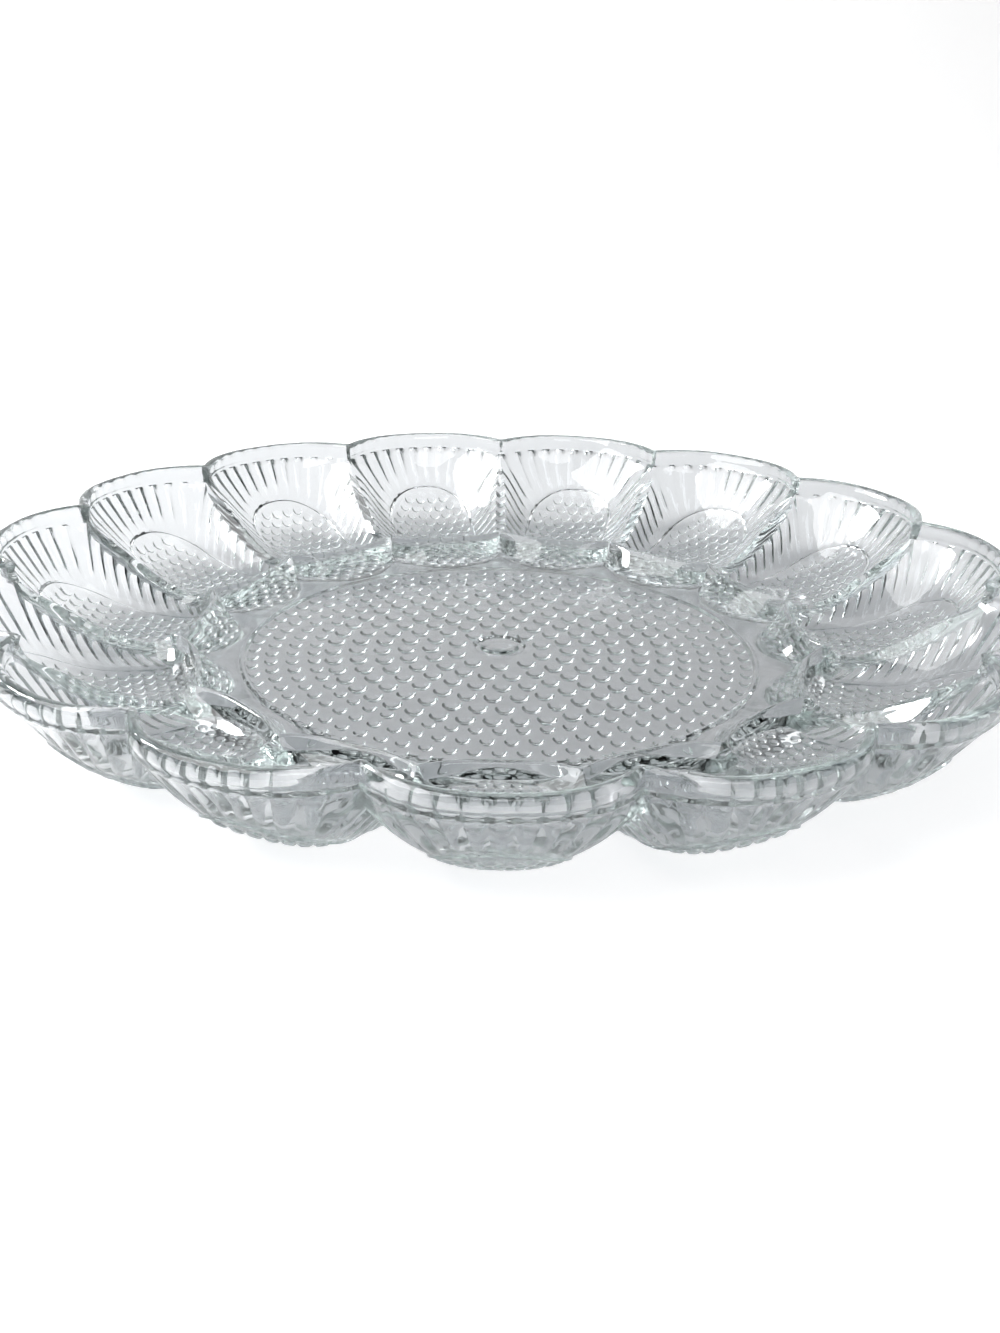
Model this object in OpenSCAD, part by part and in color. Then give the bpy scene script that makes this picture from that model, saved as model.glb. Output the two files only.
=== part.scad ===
// Pressed glass platter with egg cups round a hobnail tray.
// Millimetres, +Z up. The origin is on the platter's axis at table height, and cup 1 points along -Y.

/* [Platter] */
// Diameter over the tips of the scallops
plate_d = 286; // [260:1:314]
// Height from the table to the top of the rim
plate_h = 32.5; // [29:0.5:38]
// How far the notches between scallops stand inside the tips
scallop_depth = 10; // [6:0.5:12]

/* [Rim] */
// Height of the thick band under the top edge
rim_band_h = 5.3; // [4:0.1:6.5]
// Thickness of the rim band
rim_t = 4.2; // [3.4:0.1:5]
// How far the bead under the band stands proud of the wall
bead_proud = 1.1; // [0.6:0.1:1.6]

/* [Egg cups] */
// Glass thickness under the middle of a cup
cup_t = 3.8; // [3:0.1:4.8]
// Radius from the axis to the lip at a cup's inner end
lip_r = 84; // [81:0.5:86]
// Height of that lip above the table
lip_h = 11.5; // [10:0.5:14]
// How far the lip bows towards the axis between two ridges
lip_bow = 5; // [3:0.5:7]
// Radius where the inner wall of a cup meets the tray
foot_r = 75.4; // [73:0.2:77]
// How far that foot line bows towards the axis between two ridges
foot_bow = 11.1; // [9:0.1:12]
// Inner radius of the flat that a cup rests on
pad_in_r = 88; // [86:0.5:91]
// Outer radius of the flat that a cup rests on
pad_out_r = 106; // [102:0.5:109]
// Radius of the lowest place of the ridge between two cups
saddle_r = 97; // [95:0.5:100]
// Height of the ridge at that place
saddle_h = 8.5; // [7.5:0.1:10]
// Flutes round the outer wall of one cup
flute_count = 11; // [8:1:12]
// Depth of the grooves between flutes
flute_depth = 0.7; // [0.3:0.1:0.9]

/* [Tray] */
// Height of the tray's top face above the table
tray_h = 4.2; // [3.8:0.1:5]
// Thickness of the tray's glass, without its hobs
tray_t = 3; // [2.4:0.1:3.2]
// Width of the level band between the domed field and the feet of the cups
band_w = 9.2; // [8.8:0.1:9.8]
// Rise of the tray's floor from its edge to its middle
dome_h = 1.5; // [0.5:0.1:2.5]
// Distance from the edge of the domed field to the middle of the bead round it
field_bead_gap = 5.1; // [4.7:0.1:5.5]
// Height of that bead
field_bead_h = 0.5; // [0.3:0.1:0.7]
// Half width of that bead
field_bead_w = 1.1; // [0.8:0.1:1.3]

/* [Hobs] */
// Depth of a hob under the floor
hob_h = 0.8; // [0.4:0.1:0.9]
// Diameter of the large hobs at their root
big_hob_d = 5.4; // [4.6:0.1:5.8]
// Radius of the innermost ring of large hobs
big_ring_r = 12.4; // [11.8:0.1:13]
// Step from one ring of large hobs to the next
big_ring_step = 6.8; // [6.4:0.1:6.9]
// Diameter of the small hobs at their root
small_hob_d = 4.2; // [3.6:0.1:4.6]
// Distance from the edge of the domed field to the middle of its outermost ring of small hobs
small_ring_edge = 2.7; // [2.4:0.1:3]
// Step from one ring of small hobs to the next
small_ring_step = 5.9; // [5.6:0.1:6]
// Distance from the edge of the domed field to the middle of the ring of small hobs outside it
edge_ring_gap = 2.7; // [2.5:0.1:2.9]

/* [Button] */
// Diameter of the plain button in the middle of the tray
button_d = 10.6; // [9:0.1:12]
// Height of the button above its seat
button_h = 1; // [0.8:0.1:1.4]
// Rounding of the button's edge
button_round = 0.4; // [0.2:0.1:0.5]
// Width of the ring groove round the button
groove_w = 1.6; // [1:0.1:2]
// Depth of the button's seat and of its groove
groove_depth = 0.5; // [0.3:0.1:0.7]

/* [Hidden] */

$fn = 96;
glass = [0.80, 0.88, 0.86, 0.75];
thick_glass = [0.72, 0.82, 0.79, 0.75];

cup_count = 15;
cup_angle = 360 / cup_count;
first_cup_angle = -90;
rim_r = plate_d / 2;
notch_r = rim_r - scallop_depth;
bead_h = plate_h - rim_band_h;
tray_under = tray_h - tray_t;

// How sharply the rim, the lips and the heights turn towards a ridge.
rim_bow_power = 2.6;
lip_bow_power = 2;
rise_power = 2.6;

// Where the corners of the two sections stand.
rim_round_share = 0.33;
notch_share = 0.5;
bowl_top_share = 0.5;
ridge_top_share = 0.2;
ridge_lean_share = 0.12;
cup_in_share = 0.75;
face_shares = [0.5, 0.6];

// The pad is drawn a little too low and is then cut flat at the table.
pad_cut_share = 0.12;
pad_cut = pad_cut_share * cup_t;
cut_w = 2 * plate_d;

// Outer wall from the pad to the bead, as shares of its width and its height.
wall_shares = [[0.16, 0.03], [0.33, 0.125], [0.49, 0.255], [0.66, 0.425], [0.80, 0.635], [0.90, 0.83]];
// The same wall in the valley under a ridge, as shares from the tray's underside to the bead.
valley_shares = [[0.33, 0.13], [0.47, 0.235], [0.61, 0.36], [0.75, 0.50], [0.88, 0.66], [0.965, 0.84]];
// Inside of the outer wall, from the foot of the rim band down to the cup's floor.
bowl_shares = [[0.955, 0.865], [0.87, 0.635], [0.76, 0.41], [0.59, 0.19], [0.34, 0.03]];
// Crest of a ridge, from the foot of the rim band down to the saddle.
ridge_shares = [[0.90, 0.84], [0.72, 0.645], [0.50, 0.40], [0.29, 0.19], [0.12, 0.06]];
// Depth of the flutes at each place of the wall, from the pad to the bead.
flute_shares = [0, 0, 0.15, 0.75, 1, 1];
// Shape of a cup's inner end, as shares of the lip's height over the cup's floor.
inner_face_shares = [[0.62, 0.12], [0.30, 0.42], [0.13, 0.83]];

function mix(a, b, share) = a + (b - a) * share;
function wall_point(from, to, share) = [mix(from[0], to[0], share[0]), mix(from[1], to[1], share[1])];

// The domed field, the ring of hobs outside it and the bead keep their distances to the cups' feet.
field_r = foot_r - band_w;
field_bead_r = field_r + field_bead_gap;
edge_ring_r = field_r + edge_ring_gap;

// Corners that the two profiles are built on.
bead_foot_r = rim_r - bead_proud;
band_in_r = rim_r - rim_t;
rim_round = rim_t * rim_round_share;
notch_wall_r = notch_r - bead_proud;
notch_in_r = notch_r - rim_t * notch_share;
cup_in_r = mix(lip_r, saddle_r, cup_in_share);
lip_ridge_r = lip_r + lip_bow;
foot_ridge_r = foot_r + foot_bow;
bowl_top = [band_in_r, bead_h + rim_band_h * bowl_top_share];
ridge_top = [notch_in_r - rim_t * ridge_lean_share, bead_h + rim_band_h * ridge_top_share];
lip_t = lip_ridge_r - foot_ridge_r;

// Corner between a lip and the foot of its wall, on the side of the tray.
function face_corner(lip, foot) = [mix(lip, foot, face_shares[0]), mix(tray_h, lip_h, face_shares[1])];

// Section through the middle of a cup, from the underside round the rim to the tray.
mid_profile = concat(
    [[foot_r, tray_under], [pad_in_r, -pad_cut], [pad_out_r, -pad_cut]],
    [for (s = wall_shares) wall_point([pad_out_r, -pad_cut], [bead_foot_r, bead_h], s)],
    [[bead_foot_r, bead_h]],
    [[rim_r, bead_h + bead_proud], [rim_r, plate_h - rim_round], [rim_r - rim_round, plate_h]],
    [[band_in_r + rim_round * notch_share, plate_h], bowl_top],
    [for (s = bowl_shares) wall_point([cup_in_r, cup_t], bowl_top, s)],
    [[cup_in_r, cup_t]],
    [for (s = inner_face_shares) wall_point([lip_r, cup_t], [cup_in_r, lip_h], s)],
    [[lip_r, lip_h], face_corner(lip_r, foot_r), [foot_r, tray_h]]
);

// Section along a ridge, with a point for each point of the middle section.
ridge_profile = concat(
    [[foot_ridge_r, tray_under], [foot_ridge_r + lip_t, tray_under], [saddle_r, tray_under + hob_h]],
    [for (s = valley_shares) wall_point([foot_ridge_r, tray_under], [notch_wall_r, bead_h], s)],
    [[notch_wall_r, bead_h]],
    [[notch_r, bead_h + bead_proud], [notch_r, plate_h - rim_round]],
    [[notch_r - rim_round * notch_share, plate_h]],
    [[notch_in_r, plate_h], ridge_top],
    [for (s = ridge_shares) wall_point([saddle_r, saddle_h], ridge_top, s)],
    [[saddle_r, saddle_h]],
    [for (s = inner_face_shares) [mix(lip_ridge_r, saddle_r, s[0]), mix(saddle_h, lip_h, s[1])]],
    [[lip_ridge_r, lip_h], face_corner(lip_ridge_r, foot_ridge_r), [foot_ridge_r, tray_h]]
);

// Stations are counted from the foot: the wall starts after the pad, and the lip ends the section.
stations = len(mid_profile);
columns = 2 * flute_count;
first_wall = 3;
fluted_end = first_wall + len(flute_shares);
bead_stations = 3;
first_lip = stations - len(inner_face_shares) - 4;

// Place across a cup, from -1 on one ridge through 0 in the middle to 1 on the other ridge.
function across(column) = 2 * column / columns - 1;
function bow_power(k) = k < first_wall || k >= first_lip ? lip_bow_power : rim_bow_power;
function bow_share(k, q) = pow(abs(q), bow_power(k));
function rise_share(q) = pow(abs(q), rise_power);
function flute_share(k) =
    k < first_wall ? 0 :
    k < fluted_end ? flute_shares[k - first_wall] :
    k < fluted_end + bead_stations ? 1 : 0;
function groove(column, k) = column % 2 == 0 ? flute_depth * flute_share(k) : 0;
function station_r(k, column) =
    mix(mid_profile[k][0], ridge_profile[k][0], bow_share(k, across(column))) - groove(column, k);
function station_z(k, column) =
    mix(mid_profile[k][1], ridge_profile[k][1], rise_share(across(column)));
function polar(r, angle, z) = [r * cos(angle), r * sin(angle), z];
function column_angle(column) = across(column) * cup_angle / 2;
function cup_points() = [
    for (column = [0:columns], k = [0:stations - 1])
        polar(station_r(k, column), column_angle(column), station_z(k, column))
];
function cup_faces() = concat(
    [for (column = [0:columns - 1], k = [0:stations - 1])
        let (a = column * stations + k, b = column * stations + (k + 1) % stations)
        [a, b, b + stations]],
    [for (column = [0:columns - 1], k = [0:stations - 1])
        let (a = column * stations + k, b = column * stations + (k + 1) % stations)
        [a, b + stations, a + stations]],
    [[for (k = [stations - 1:-1:0]) k]],
    [[for (k = [0:stations - 1]) columns * stations + k]]
);

module egg_cup(number) {
    color(glass)
    rotate([0, 0, first_cup_angle + (number - 1) * cup_angle])
    difference() {
        polyhedron(points = cup_points(), faces = cup_faces(), convexity = 6);
        translate([0, -cut_w / 2, -cut_w])
        cube([cut_w, cut_w, cut_w]);
    }
}

// Foot line of all the cups, which is the tray ring's outline.
function foot_line() = [
    for (cup = [0:cup_count - 1], column = [0:columns - 1])
        let (
            r = station_r(0, column),
            angle = first_cup_angle + cup * cup_angle + column_angle(column)
        )
        [r * cos(angle), r * sin(angle)]
];

// A hob hangs under the floor and is narrower at its tip, and its root is sunk into the glass.
hob_tip_share = 0.62;
hob_root_share = 0.5;
hob_root_h = tray_under + tray_t * hob_root_share;
hob_tip_h = tray_under - hob_h;
module hob(d) {
    translate([0, 0, hob_tip_h])
    cylinder(h = hob_root_h - hob_tip_h, d1 = d * hob_tip_share, d2 = d);
}

// A ring of hobs starts from cup 1, turned by a share of one step.
module hob_ring(r, count, turn_share, d) {
    for (i = [0:count - 1])
        rotate([0, 0, first_cup_angle + (i + turn_share) * 360 / count])
        translate([r, 0, 0])
        hob(d);
}

// The bead round the field of hobs is sunk into the ring and flat on top.
bead_root_h = tray_h - tray_t * hob_root_share;
bead_flat_share = 0.5;
bead_flat_w = field_bead_w * bead_flat_share;
edge_ring_count = 72;
edge_turn_share = 0;

module tray_ring() {
    color(glass)
    union() {
        translate([0, 0, tray_under])
        linear_extrude(tray_t)
        difference() {
            polygon(foot_line());
            circle(r = field_r);
        }
        rotate_extrude()
        polygon([
            [field_bead_r - field_bead_w, bead_root_h],
            [field_bead_r - field_bead_w, tray_h],
            [field_bead_r - bead_flat_w, tray_h + field_bead_h],
            [field_bead_r + bead_flat_w, tray_h + field_bead_h],
            [field_bead_r + field_bead_w, tray_h],
            [field_bead_r + field_bead_w, bead_root_h]
        ]);
        hob_ring(edge_ring_r, edge_ring_count, edge_turn_share, small_hob_d);
    }
}

// Large hobs are counted from the middle outwards, and small hobs from the field's edge inwards.
big_ring_counts = [10, 18, 24, 30, 36, 42];
big_turn_shares = [0, 0.5, 0.1, 0.75, 0.2, 0.75];
small_ring_counts = [66, 60, 54];
small_turn_shares = [0, 0.5, 0];
dome_steps = 12;
groove_lean_share = 0.25;
seat_r = button_d / 2 + groove_w;
seat_h = tray_h + dome_h - groove_depth;

function dome_at(r) = dome_h * (1 - pow(r / field_r, 2));
function dome_r(step) = mix(seat_r, field_r, step / dome_steps);

module tray_floor() {
    color(glass)
    union() {
        rotate_extrude()
        polygon(concat(
            [[0, tray_under], [field_r, tray_under]],
            [for (step = [dome_steps:-1:0]) [dome_r(step), tray_h + dome_at(dome_r(step))]],
            [[seat_r - groove_w * groove_lean_share, seat_h], [0, seat_h]]
        ));
        for (i = [0:len(big_ring_counts) - 1])
            hob_ring(big_ring_r + i * big_ring_step, big_ring_counts[i], big_turn_shares[i], big_hob_d);
        for (i = [0:len(small_ring_counts) - 1])
            hob_ring(field_r - small_ring_edge - i * small_ring_step, small_ring_counts[i],
                small_turn_shares[i], small_hob_d);
    }
}

module centre_button() {
    color(thick_glass)
    rotate_extrude()
    polygon([
        [0, seat_h],
        [button_d / 2, seat_h],
        [button_d / 2, seat_h + button_h - button_round],
        [button_d / 2 - button_round, seat_h + button_h],
        [0, seat_h + button_h]
    ]);
}

tray_floor();
tray_ring();
centre_button();
egg_cup(1);  // egg_cup_01
egg_cup(2);  // egg_cup_02
egg_cup(3);  // egg_cup_03
egg_cup(4);  // egg_cup_04
egg_cup(5);  // egg_cup_05
egg_cup(6);  // egg_cup_06
egg_cup(7);  // egg_cup_07
egg_cup(8);  // egg_cup_08
egg_cup(9);  // egg_cup_09
egg_cup(10);  // egg_cup_10
egg_cup(11);  // egg_cup_11
egg_cup(12);  // egg_cup_12
egg_cup(13);  // egg_cup_13
egg_cup(14);  // egg_cup_14
egg_cup(15);  // egg_cup_15
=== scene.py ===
# %% [markdown]
# An egg platter of clear pressed glass: a round tray with fifteen cups about it. The CAD model
# gives every size, so this script only makes what the eye reads as glass: flutes, hobs, beads,
# the clear material and the light round it. We start by loading the CAD model as a fixed frame.

# %% Load the frame
import math

import bmesh
import bpy
import numpy as np
from mathutils import Matrix, Vector


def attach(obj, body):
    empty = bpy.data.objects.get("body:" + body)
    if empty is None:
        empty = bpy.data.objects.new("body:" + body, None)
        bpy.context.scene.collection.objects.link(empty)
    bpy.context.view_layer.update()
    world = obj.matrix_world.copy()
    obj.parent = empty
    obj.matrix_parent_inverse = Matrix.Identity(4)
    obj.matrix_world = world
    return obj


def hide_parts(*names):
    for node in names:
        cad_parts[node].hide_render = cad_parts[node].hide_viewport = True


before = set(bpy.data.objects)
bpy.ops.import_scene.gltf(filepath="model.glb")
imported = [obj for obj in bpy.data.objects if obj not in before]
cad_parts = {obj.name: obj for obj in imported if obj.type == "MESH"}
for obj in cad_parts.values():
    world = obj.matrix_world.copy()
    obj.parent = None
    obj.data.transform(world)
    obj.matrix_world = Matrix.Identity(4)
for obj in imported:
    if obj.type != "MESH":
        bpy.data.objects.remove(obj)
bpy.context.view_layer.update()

# %% [markdown]
# The camera comes first. Its place was solved from the platter's own circles, so it is written
# as the photographer would say it: how far away, how high, and how much the camera is tilted.
# The three small angles are those of a shot taken by hand. The sensor's 36 mm lie along the tall
# side of the picture.

# %% Camera
MM = 0.001
IMAGE_TALL = 1333
FOCAL_PIXELS = 1466.8
CAMERA_DISTANCE = 412.6 * MM
CAMERA_SIDE = -1.03 * MM
AIM_HEIGHT = 3 * MM
CAMERA_ELEVATION = 22.107
CAMERA_TURN = -0.32
CAMERA_YAW, CAMERA_PITCH, CAMERA_ROLL = -0.172, -0.461, -1.236
SENSOR = 36
NEAREST, FARTHEST = 0.01, 30


def make_camera():
    """A camera that looks at the platter's axis, then is turned by the three small angles."""
    rise = math.radians(CAMERA_ELEVATION)
    forward = Vector((0, math.cos(rise), -math.sin(rise)))
    right = Vector((1, 0, 0))
    up = right.cross(forward)
    away, height = CAMERA_DISTANCE * math.cos(rise), CAMERA_DISTANCE * math.sin(rise)
    place = Vector((CAMERA_SIDE, -away, height))
    yaw = Matrix.Rotation(math.radians(CAMERA_YAW), 3, up)
    forward, right = yaw @ forward, yaw @ right
    pitch = Matrix.Rotation(math.radians(CAMERA_PITCH), 3, right)
    forward, up = pitch @ forward, pitch @ up
    roll = Matrix.Rotation(math.radians(CAMERA_ROLL), 3, forward)
    right, up = roll @ right, roll @ up
    axes = Matrix((right, up, -forward)).transposed().to_4x4()
    camera = bpy.data.objects.new("camera", bpy.data.cameras.new("camera"))
    camera.data.sensor_width = SENSOR
    camera.data.lens = FOCAL_PIXELS * SENSOR / IMAGE_TALL
    camera.data.clip_start, camera.data.clip_end = NEAREST, FARTHEST
    turn = Matrix.Rotation(math.radians(CAMERA_TURN), 4, "Z")
    camera.matrix_world = turn @ Matrix.Translation(place + Vector((0, 0, AIM_HEIGHT))) @ axes
    bpy.context.scene.collection.objects.link(camera)
    bpy.context.scene.camera = camera
    return camera


camera = make_camera()
print("lens", round(camera.data.lens, 2), "mm")

# %% [markdown]
# The sizes are the CAD model's own, in millimetres, so each glass piece lands where its solid
# is. Two sections describe a cup: one through its middle and one along the ridge between two
# cups. Everything between them is a blend. A cup could also be sculpted, but fifteen equal cups
# that meet without a gap ask for a rule. Each place in a section is a radius and a height.

# %% Sizes
CUPS = 15
CUP_STEP = 2 * math.pi / CUPS
HALF_CUP = CUP_STEP / 2
RIM_R, NOTCH_R = 143.0, 133.0
FOOT_R, FOOT_RIDGE_R = 75.4, 86.5
TRAY_UNDER, COVE_TOP = 1.2, 5.0
UNDER_RIM_IN, UNDER_RIM_Z = 1.30, 26.2

# The rim's section, as distances inside the rim's outermost line and heights.
RIM_SECTION = [
    (UNDER_RIM_IN, UNDER_RIM_Z), (0.75, 26.65), (0.50, 27.15), (0.55, 27.7), (0.60, 28.15), (0.30, 28.8),
    (0.0, 29.8), (0.15, 31.0), (0.65, 32.0), (1.6, 32.5), (2.9, 32.4), (3.8, 31.7),
]
MID_BOWL = [
    (138.75, 30.2), (136.77, 26.33), (132.94, 20.34), (127.99, 14.48), (120.33, 8.75),
    (109.07, 4.58), (101.0, 3.75), (93.75, 3.95), (90.04, 4.9), (86.92, 7.2), (85.4, 9.9),
    (84.7, 11.1), (83.8, 11.5), (82.8, 11.05), (80.9, 9.2), (78.6, 7.0), (76.9, 5.75),
    (FOOT_R, COVE_TOP),
]
RIDGE_BOWL = [
    (129.9, 29.8), (127.8, 25.6), (121.3, 21.2), (113.8, 16.4), (106.7, 12.25), (101.4, 9.9),
    (98.6, 8.95), (96.3, 8.7), (94.0, 8.95), (91.6, 9.9), (90.2, 10.9), (89.5, 11.35),
    (89.0, 11.45), (88.5, 11.0), (88.0, 9.4), (87.6, 7.8), (87.1, 6.3), (FOOT_RIDGE_R, COVE_TOP),
]
MID_UNDER = [
    (FOOT_R, TRAY_UNDER), (81.0, 0.95), (88.0, 0.75), (97.0, 0.7), (106.0, 0.75),
    (111.74, 1.35), (117.85, 3.3), (123.59, 6.7), (129.69, 11.4), (134.72, 17.2),
    (138.31, 22.0), (RIM_R - UNDER_RIM_IN, UNDER_RIM_Z),
]
RIDGE_UNDER = [
    (FOOT_RIDGE_R, TRAY_UNDER), (89.0, 1.3), (93.0, 1.7), (97.0, 2.6), (101.48, 4.58),
    (107.84, 7.31), (114.19, 10.56), (120.55, 14.2), (126.45, 18.36), (129.3, 21.2),
    (130.9, 23.8), (NOTCH_R - UNDER_RIM_IN, UNDER_RIM_Z),
]
print("a cup spans", round(math.degrees(CUP_STEP)), "degrees and", RIM_R - FOOT_R, "mm")

# %% [markdown]
# Straight lines between those places would show as flat rings in the glass. A curve that runs
# through all of them (each stretch is a cubic of its four nearest places) keeps every height
# where it was chosen and rounds what lies between.

# %% Smooth sections
STEPS_BOWL, STEPS_UNDER = 3, 8


def smooth_line(points, steps):
    """Points of a curve that runs through the given points, with steps to each stretch."""
    p = np.array(points, float)
    p = np.vstack([2 * p[0] - p[1], p, 2 * p[-1] - p[-2]])
    out = []
    for i in range(1, len(p) - 2):
        a, b, c, d = p[i - 1], p[i], p[i + 1], p[i + 2]
        for t in np.arange(steps) / steps:
            out.append(0.5 * (2 * b + (c - a) * t + (2 * a - 5 * b + 4 * c - d) * t ** 2
                              + (3 * b - a - 3 * c + d) * t ** 3))
    out.append(p[-2])
    return np.array(out)


mid_bowl, ridge_bowl = smooth_line(MID_BOWL, STEPS_BOWL), smooth_line(RIDGE_BOWL, STEPS_BOWL)
mid_under, ridge_under = smooth_line(MID_UNDER, STEPS_UNDER), smooth_line(RIDGE_UNDER, STEPS_UNDER)
bowl_rows, under_rows = len(mid_bowl), len(mid_under)
print(bowl_rows, "rows inside,", under_rows, "below")

# %% [markdown]
# Across a cup, q runs from -1 on the left ridge through 0 in the middle to 1 on the right ridge.
# A power of q makes the middle broad and the ridge steep, as a scallop is, and the last bit is
# levelled so that two cups meet in one soft crest. The foot bows more gently than the rim, so
# the rows next to it follow a power of their own.

# %% From the middle of a cup to its ridge
RIM_POWER, FOOT_POWER = 2.6, 2.0
CREST = 0.03
UNDER_FOOT_ROWS, BOWL_FOOT_ROWS = 16, 13
# Neighbours stand a few thousandths of a millimetre apart, so that a ray meets both closing faces.
SEAM_TURN, SEAM_GAP = 2e-5, 0.003


def crest_share(q, power):
    """0 in the middle of a cup and 1 on a ridge, levelled out at the very crest."""
    q = np.abs(np.asarray(q, float))
    start = 1 - CREST
    slope = power * start ** (power - 1)
    x = np.clip(q - start, 0, CREST)
    capped = start ** power + slope * (x - x ** 2 / (2 * CREST))
    return np.where(q < start, q ** power, capped) / (start ** power + slope * CREST / 2)


def foot_blend(rows, near):
    """How much each row follows the foot's softer bow: 1 at the foot, 0 a few rows away."""
    return np.clip(1 - np.arange(rows) / near, 0, 1)


def under_line(q):
    """Radii and heights of the underside across one place q of a cup, from the foot outwards."""
    soft = foot_blend(under_rows, UNDER_FOOT_ROWS)
    share_r = soft * abs(q) ** FOOT_POWER + (1 - soft) * crest_share(q, RIM_POWER)
    share_z = crest_share(q, RIM_POWER)
    r = mid_under[:, 0] + (ridge_under[:, 0] - mid_under[:, 0]) * share_r
    z = mid_under[:, 1] + (ridge_under[:, 1] - mid_under[:, 1]) * share_z
    return r, z


def foot_radius(q):
    """Radius of the foot line, where a cup meets the tray."""
    return FOOT_R + (FOOT_RIDGE_R - FOOT_R) * np.abs(q) ** FOOT_POWER


def rim_radius(q):
    """Radius of the rim's outermost line."""
    return RIM_R + (NOTCH_R - RIM_R) * crest_share(q, RIM_POWER)


def plan(r, q):
    """Place in plan of radius r at place q of cup 1, which points along -Y."""
    a = q * (HALF_CUP - SEAM_TURN)
    return np.stack([r * np.sin(a), -r * np.cos(a)], -1)


print("foot", foot_radius(0), "to", foot_radius(1), "mm, rim", rim_radius(0), "to", rim_radius(1), "mm")

# %% [markdown]
# Flutes and hobs lie on the underside at places of their own, so we need its height at any point
# of the plan. Lines of the underside at many places of a half cup are kept once, and the height
# is read between the two nearest of them.

# %% Height of the underside
UNDER_STEPS = 80
AT_FOOT, LAST_BIT = 0.02, 0.001
MIDDLE_OF_CUP = 100.0
UNDER_LINES = [under_line(q) for q in np.linspace(0, 1, UNDER_STEPS + 1)]


def under_height(x, y):
    """Height of the smooth underside below each plan point of cup 1."""
    r = np.hypot(x, y)
    q = np.clip(np.abs(np.arctan2(x, -y)) / HALF_CUP, 0, 1)
    at = np.clip(q * UNDER_STEPS, 0, UNDER_STEPS - LAST_BIT)
    low = at.astype(int)
    part = at - low
    z = np.empty(len(r))
    for i in range(len(r)):
        ra, za = UNDER_LINES[low[i]]
        rb, zb = UNDER_LINES[low[i] + 1]
        z[i] = (1 - part[i]) * np.interp(r[i], ra, za) + part[i] * np.interp(r[i], rb, zb)
    return np.where(r < foot_radius(q) + AT_FOOT, TRAY_UNDER, z)


middle = under_height(np.zeros(1), np.full(1, -MIDDLE_OF_CUP))
print("the underside is", round(float(middle[0]), 2), "mm up in the middle of a cup")

# %% [markdown]
# Hobs are the small round bumps pressed into the underside. Hundreds of them repeat, so a
# Geometry Nodes tree makes them: it sets one blunt cone on each point, cuts a hole of the same
# outline into the sheet between them with Fill Curve, and welds both. The result is one
# unbroken skin, which glass needs, because a face left inside the glass would show. Three short
# helpers come first: one makes a tree's inputs, one adds any node and one adds a Math node.

# %% Helpers for node trees
def sockets(tree, wanted):
    """Adds a tree's inputs and outputs, and returns the identifier of each by its name."""
    ids = {}
    for name, kind, in_out in wanted:
        ids[name] = tree.interface.new_socket(name=name, in_out=in_out, socket_type=kind).identifier
    return ids


def node(tree, kind, **settings):
    """Adds a node of a kind, with its settings."""
    made = tree.nodes.new(kind)
    for key, value in settings.items():
        setattr(made, key, value)
    return made


def maths(tree, operation, a, b=None):
    """Adds a Math node for numbers or outputs, and returns its own output."""
    made = node(tree, "ShaderNodeMath", operation=operation)
    for slot, value in enumerate([a, b]):
        if value is None:
            continue
        if isinstance(value, (int, float)):
            made.inputs[slot].default_value = value
        else:
            tree.links.new(value, made.inputs[slot])
    return made.outputs[0]


print("helpers sockets, node and maths are ready")

# %% [markdown]
# The hob's rings come from a plain cone of radius 1 and height 1. A sine spreads them, so that
# they lie close together at the hob's edge. Its side falls straight until it reaches the flat
# tip, and a square root softens the shoulder between the two. The size of each hob is a vector
# on its point, so one tree serves large and small hobs.

# %% Hob sheet tree
NOT_ZERO = 1e-5


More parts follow.
